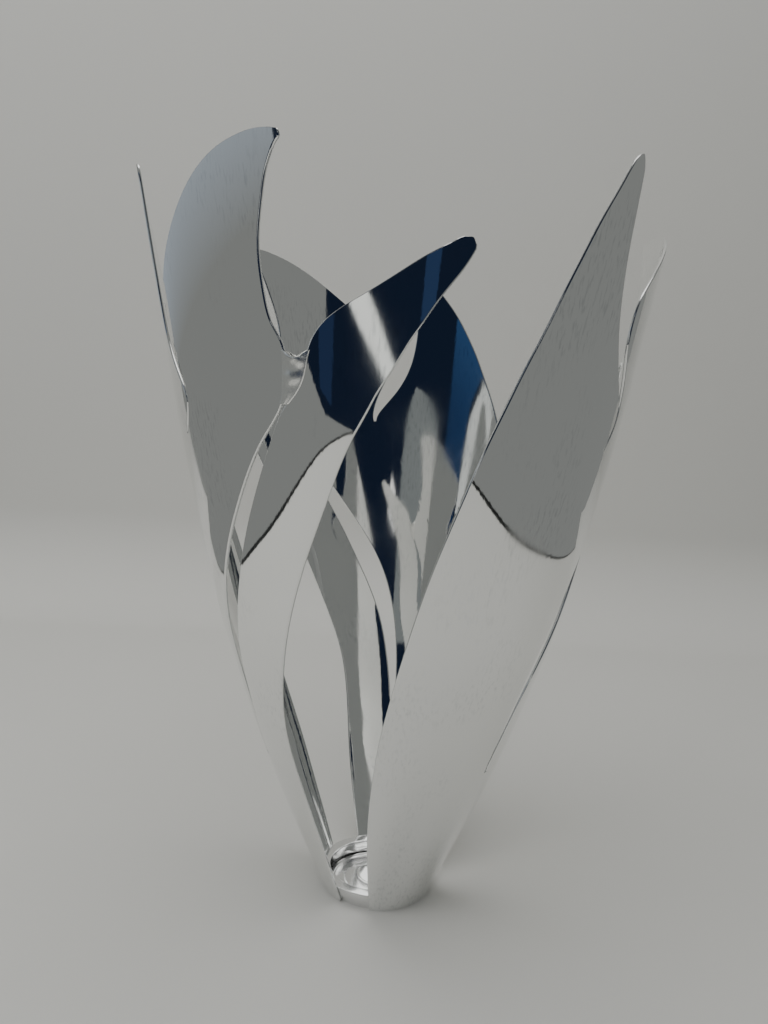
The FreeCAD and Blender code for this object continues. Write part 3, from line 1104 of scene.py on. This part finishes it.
LIGHTS: tuple[SoftLight, ...] = (
    SoftLight("light_top", (-0.15, -0.25, 1.35), 1.7, 15.0),
    SoftLight("light_left", (-1.2, -0.5, 0.8), 0.8, 4.5),
)


@dataclass(frozen=True)
class Viewpoint:
    """Where the camera stands on the YZ plane and how it is turned, in degrees."""

    distance: float = 0.3052
    height: float = 0.1776
    pitch: float = 4.66
    yaw: float = -0.69
    roll: float = 2.56
    lens: float = 27.04
    clip_start: float = 0.01

    def build(self) -> None:
        """Build the camera: it looks ahead by yaw and pitch, and is rolled about that way."""
        pitch, yaw, roll = (math.radians(angle) for angle in (self.pitch, self.yaw, self.roll))
        ahead = Vector((math.sin(yaw) * math.cos(pitch), math.cos(yaw) * math.cos(pitch), -math.sin(pitch)))
        level_right = ahead.cross(Vector((0, 0, 1))).normalized()
        level_up = level_right.cross(ahead)
        right = math.cos(roll) * level_right + math.sin(roll) * level_up
        up = -math.sin(roll) * level_right + math.cos(roll) * level_up
        data = bpy.data.cameras.new("camera")
        data.lens = self.lens
        data.clip_start = self.clip_start
        camera = bpy.data.objects.new("camera", data)
        turn = Matrix((right, up, -ahead)).transposed().to_4x4()
        turn.translation = Vector((0.0, -self.distance, self.height))
        camera.matrix_world = turn
        bpy.context.scene.collection.objects.link(camera)
        bpy.context.scene.camera = camera


@dataclass(frozen=True)
class Studio:
    """A plain pale floor and wall of paper, a near-black band round the floor painted as the shade at the
    paper's edge, and the grey room beyond that band.
    """

    floor_corners: tuple[tuple[float, float], ...] = (
        (-0.46, 0.402), (-0.37, 0.25), (-0.355, 0.00), (-0.335, -0.14), (-0.305, -0.29),
        (-0.26, -0.42), (-0.15, -0.51), (0.00, -0.53), (0.14, -0.48), (0.24, -0.36),
        (0.305, -0.22), (0.35, -0.11), (0.40, 0.03), (0.44, 0.22), (0.48, 0.402),
    )
    floor_steps: int = 120
    edge_width: float = 0.011
    edge_drop: float = 0.001
    ground_drop: float = 0.002
    ground_corners: tuple[tuple[float, float], ...] = ((-3.0, 0.4), (-3.0, -3.0), (3.0, -3.0), (3.0, 0.4))
    wall_distance: float = 0.50
    wall_height: float = 1.5
    half_width: float = 0.62
    sweep_radius: float = 0.10
    sweep_steps: int = 24
    paper_colour: Colour = (0.645, 0.64, 0.61)
    # near-black colour of the band round the floor: painted shade standing in for the paper's unlit edge
    edge_shade_colour: Colour = (0.006, 0.006, 0.006)

    def build(self) -> None:
        """Build the stage, the cards, the lights, the surroundings and the camera."""
        paper = PlainPaint("pale_paper", self.paper_colour).material()
        self.build_wall(paper)
        self.build_floor(paper)
        for card in CARDS:
            card.build()
        for light in LIGHTS:
            light.build()
        self.build_world()
        Viewpoint().build()

    def build_wall(self, paper: bpy.types.Material) -> None:
        """Build the wall, with a curved sweep at its foot that meets the floor."""
        arc = np.linspace(0.0, np.pi / 2, self.sweep_steps)
        start = self.wall_distance - self.sweep_radius
        y = np.concatenate([start + self.sweep_radius * np.sin(arc), [self.wall_distance]])
        z = np.concatenate([self.sweep_radius * (1 - np.cos(arc)), [self.wall_height]])
        points = np.concatenate([
            np.stack([np.full_like(y, side * self.half_width), y, z], axis=1) for side in (-1, 1)
        ])
        count = len(y)
        low = np.arange(count - 1)
        faces = np.stack([low, low + count, low + count + 1, low + 1], axis=1)
        wall = mesh_object("stage_wall", points, faces.tolist())
        wall.data.materials.append(paper)

    def build_floor(self, paper: bpy.types.Material) -> None:
        """Build the floor, the near-black band round its edge, which is painted shade, and the room's
        ground under both.
        """
        outline = self.floor_outline()
        reach = outline - outline.mean(axis=0)
        edge = outline + reach / np.linalg.norm(reach, axis=1)[:, None] * self.edge_width
        # the band round the floor is painted shade: a near-black paint where the paper's edge lies in shade
        edge_shade_paint = PlainPaint("painted_edge_shade", self.edge_shade_colour).material()
        grey = GlowPaint("grey_ground", ROOM_GREY).material()
        self.build_level("stage_floor", outline, 0.0, paper)
        self.build_level("stage_painted_edge_shade", edge, -self.edge_drop, edge_shade_paint)
        self.build_level("stage_ground", np.array(self.ground_corners), -self.ground_drop, grey)

    def floor_outline(self) -> Array:
        """Return a smooth line through the floor's corner points, open at the wall."""
        corners = np.array(self.floor_corners)
        knots = np.arange(len(corners), dtype=float)
        return natural_spline(knots, corners, np.linspace(0.0, knots[-1], self.floor_steps))

    @staticmethod
    def build_level(name: str, outline: Array, height: float, look: bpy.types.Material) -> None:
        """Build a level many-sided face of the stage that looks up."""
        points = np.column_stack([outline, np.full(len(outline), height)])
        piece = mesh_object(name, points, [range(len(points))])
        piece.data.materials.append(look)

    @staticmethod
    def build_world() -> None:
        """Make the surroundings an even grey."""
        world = bpy.data.worlds.new("surroundings")
        world.use_nodes = True
        world.node_tree.nodes["Background"].inputs["Color"].default_value = (*ROOM_GREY, 1.0)
        bpy.context.scene.world = world


def main() -> None:
    """Build the vessel in its studio, in order."""
    logging.basicConfig(level=logging.INFO)
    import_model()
    Vessel().build()
    LOG.info("vessel built")
    Studio().build()
    LOG.info("studio built")


if __name__ == "__main__":
    main()
